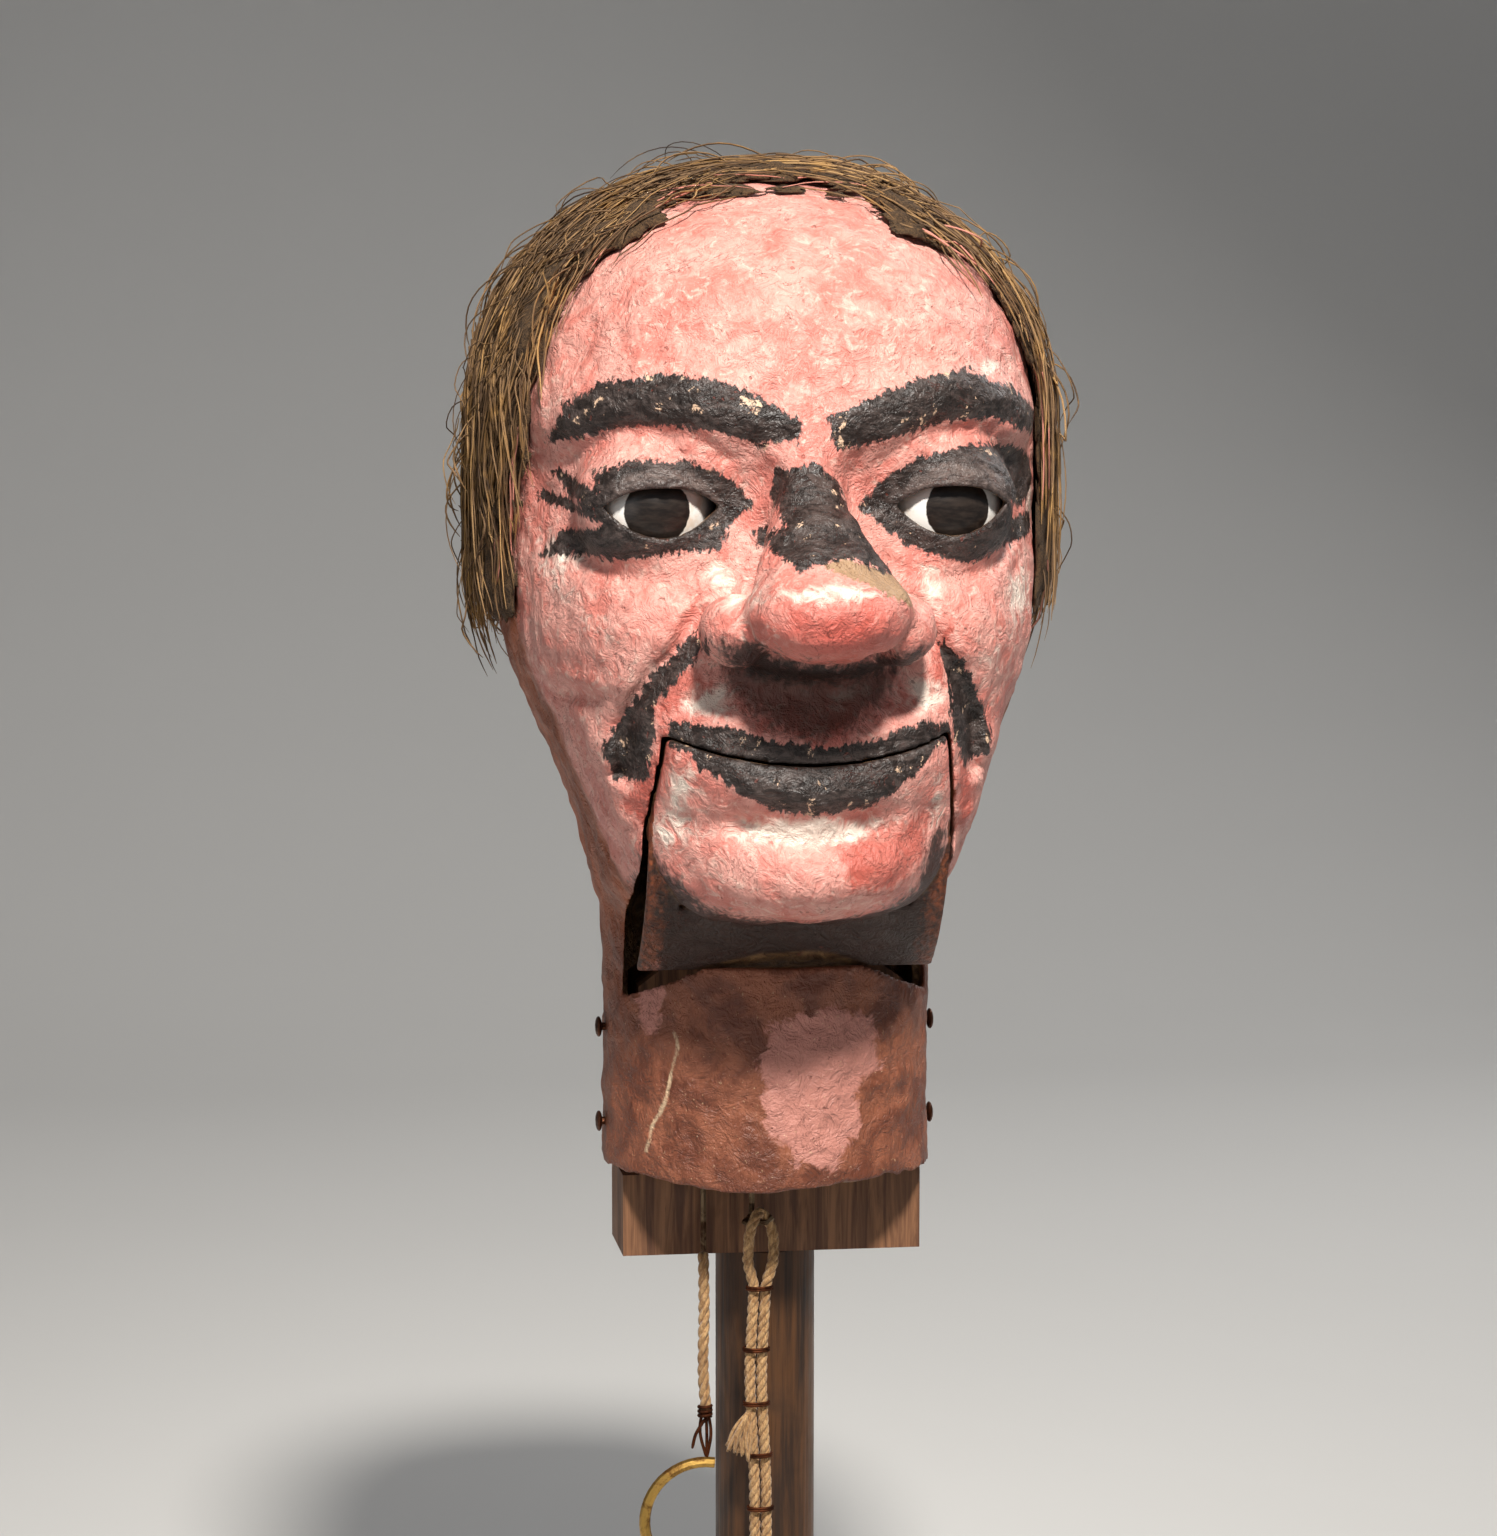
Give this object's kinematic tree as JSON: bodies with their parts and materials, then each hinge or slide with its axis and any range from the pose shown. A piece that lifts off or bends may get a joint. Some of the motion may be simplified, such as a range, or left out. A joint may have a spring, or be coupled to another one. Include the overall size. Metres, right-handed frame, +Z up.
{
  "type": "hand puppet",
  "caption": "Papier-mache ventriloquist's puppet head on a stick, with a hinged jaw and turning eyes worked by pull cords.",
  "frame": {"origin": "centre of the head stick's lower end", "axes": "+Z up the stick to the crown, the face looks along -Y, +X is the viewer's right when facing the puppet"},
  "size_m": [0.146, 0.2046, 0.461],
  "materials": {
    "flesh_paint": "crumbling matt paint on papier-mache",
    "jaw_paint": "crumbling matt paint on papier-mache, black lower lip",
    "raw_paper": "bare brown papier-mache",
    "mouth_paint": "dark red painted card",
    "eye_paint": "satin white enamel with a dark painted iris",
    "pine": "bare planed softwood",
    "stained_pole": "dark stained and handled",
    "steel_wire": "dull, lightly rusted wire",
    "brass": "tarnished",
    "cotton_cord": "grubby twisted cotton",
    "hemp_hair": "coarse curly fibre"
  },
  "bodies": {
    "head": {"axle_collar_left": "steel_wire", "axle_collar_right": "steel_wire", "back_shell": "flesh_paint", "crank_screw": "brass", "crank_washer": "brass", "eye_bridge": "pine", "eye_centring_spring": "steel_wire", "eye_pin_left": "steel_wire", "eye_pin_right": "steel_wire", "eye_post_left": "pine", "eye_post_right": "pine", "eye_shelf": "pine", "face_shell": "flesh_paint", "hair_wig": "hemp_hair", "hatch_ledge_lower": "pine", "hatch_ledge_upper": "pine", "head_stick": "stained_pole", "jaw_axle": "steel_wire", "jaw_return_spring": "steel_wire", "neck_tack_left_lower": "steel_wire", "neck_tack_left_upper": "steel_wire", "neck_tack_right_lower": "steel_wire", "neck_tack_right_upper": "steel_wire", "shelf_screw_left": "brass", "shelf_screw_right": "brass", "skull_hatch": "raw_paper", "spine_board": "pine", "spring_anchor": "brass", "spring_screw_eye": "brass", "stick_pin": "steel_wire", "wire_staple_eye": "steel_wire", "wire_staple_jaw": "steel_wire"},
    "jaw": {"jaw_shell": "jaw_paint", "jaw_arm_left": "pine", "jaw_arm_right": "pine", "jaw_cross_bar": "pine", "chin_block": "pine", "jaw_tail_bar": "pine", "mouth_floor": "mouth_paint", "jaw_pull_pin": "steel_wire"},
    "jaw_pull": {"jaw_pull_wire": "steel_wire", "jaw_cord": "cotton_cord", "finger_hook": "brass"},
    "left_eye": {"eyeball_left": "eye_paint", "eye_arm_left": "brass"},
    "right_eye": {"eyeball_right": "eye_paint", "eye_arm_right": "brass"},
    "eye_tie": {"eye_tie_rod": "brass"},
    "eye_crank": {"eye_bell_crank": "brass"},
    "eye_pull": {"eye_pull_wire": "steel_wire", "eye_cord": "cotton_cord", "finger_ring": "brass"}
  },
  "joints": [
    {"name": "jaw_hinge", "type": "hinge", "parent": "head", "child": "jaw", "pos_m": [0, 0, 0.318], "axis": [1, 0, 0], "range_deg": [0, 14], "stiffness_Nm_per_rad": 0.12, "springref_deg": -22.92, "deforming": ["jaw_return_spring"]},
    {"name": "jaw_wire_slide", "type": "slide", "parent": "head", "child": "jaw_pull", "axis": [0, 0, 1], "range_m": [-0.004, 0.0002]},
    {"name": "eye_wire_slide", "type": "slide", "parent": "head", "child": "eye_pull", "axis": [0, 0, 1], "range_m": [-0.0028, 0.0028], "stiffness_N_per_m": 600, "springref_m": 0.00014, "deforming": ["eye_centring_spring"]},
    {"name": "left_eye_turn", "type": "hinge", "parent": "head", "child": "left_eye", "pos_m": [-0.0345, -0.0505, 0.379], "axis": [0, 0, 1], "range_deg": [-18.5, 18.5]},
    {"name": "right_eye_turn", "type": "hinge", "parent": "head", "child": "right_eye", "pos_m": [0.0345, -0.0505, 0.379], "axis": [0, 0, 1], "range_deg": [-18.5, 18.5]},
    {"name": "tie_rod_slide", "type": "slide", "parent": "head", "child": "eye_tie", "axis": [1, 0, 0], "range_m": [-0.0079, 0.0079]},
    {"name": "crank_turn", "type": "hinge", "parent": "head", "child": "eye_crank", "pos_m": [0.006, -0.0184, 0.35], "axis": [0, 1, 0], "range_deg": [-14.5, 14.5]}
  ],
  "couplings": [
    {"joint": "jaw_wire_slide", "follows": "jaw_hinge", "m_per_rad": -0.0153},
    {"joint": "left_eye_turn", "follows": "eye_wire_slide", "rad_per_m": -111.1},
    {"joint": "right_eye_turn", "follows": "eye_wire_slide", "rad_per_m": -111.1},
    {"joint": "tie_rod_slide", "follows": "eye_wire_slide", "ratio": 2.722},
    {"joint": "crank_turn", "follows": "eye_wire_slide", "rad_per_m": 86.97}
  ]
}
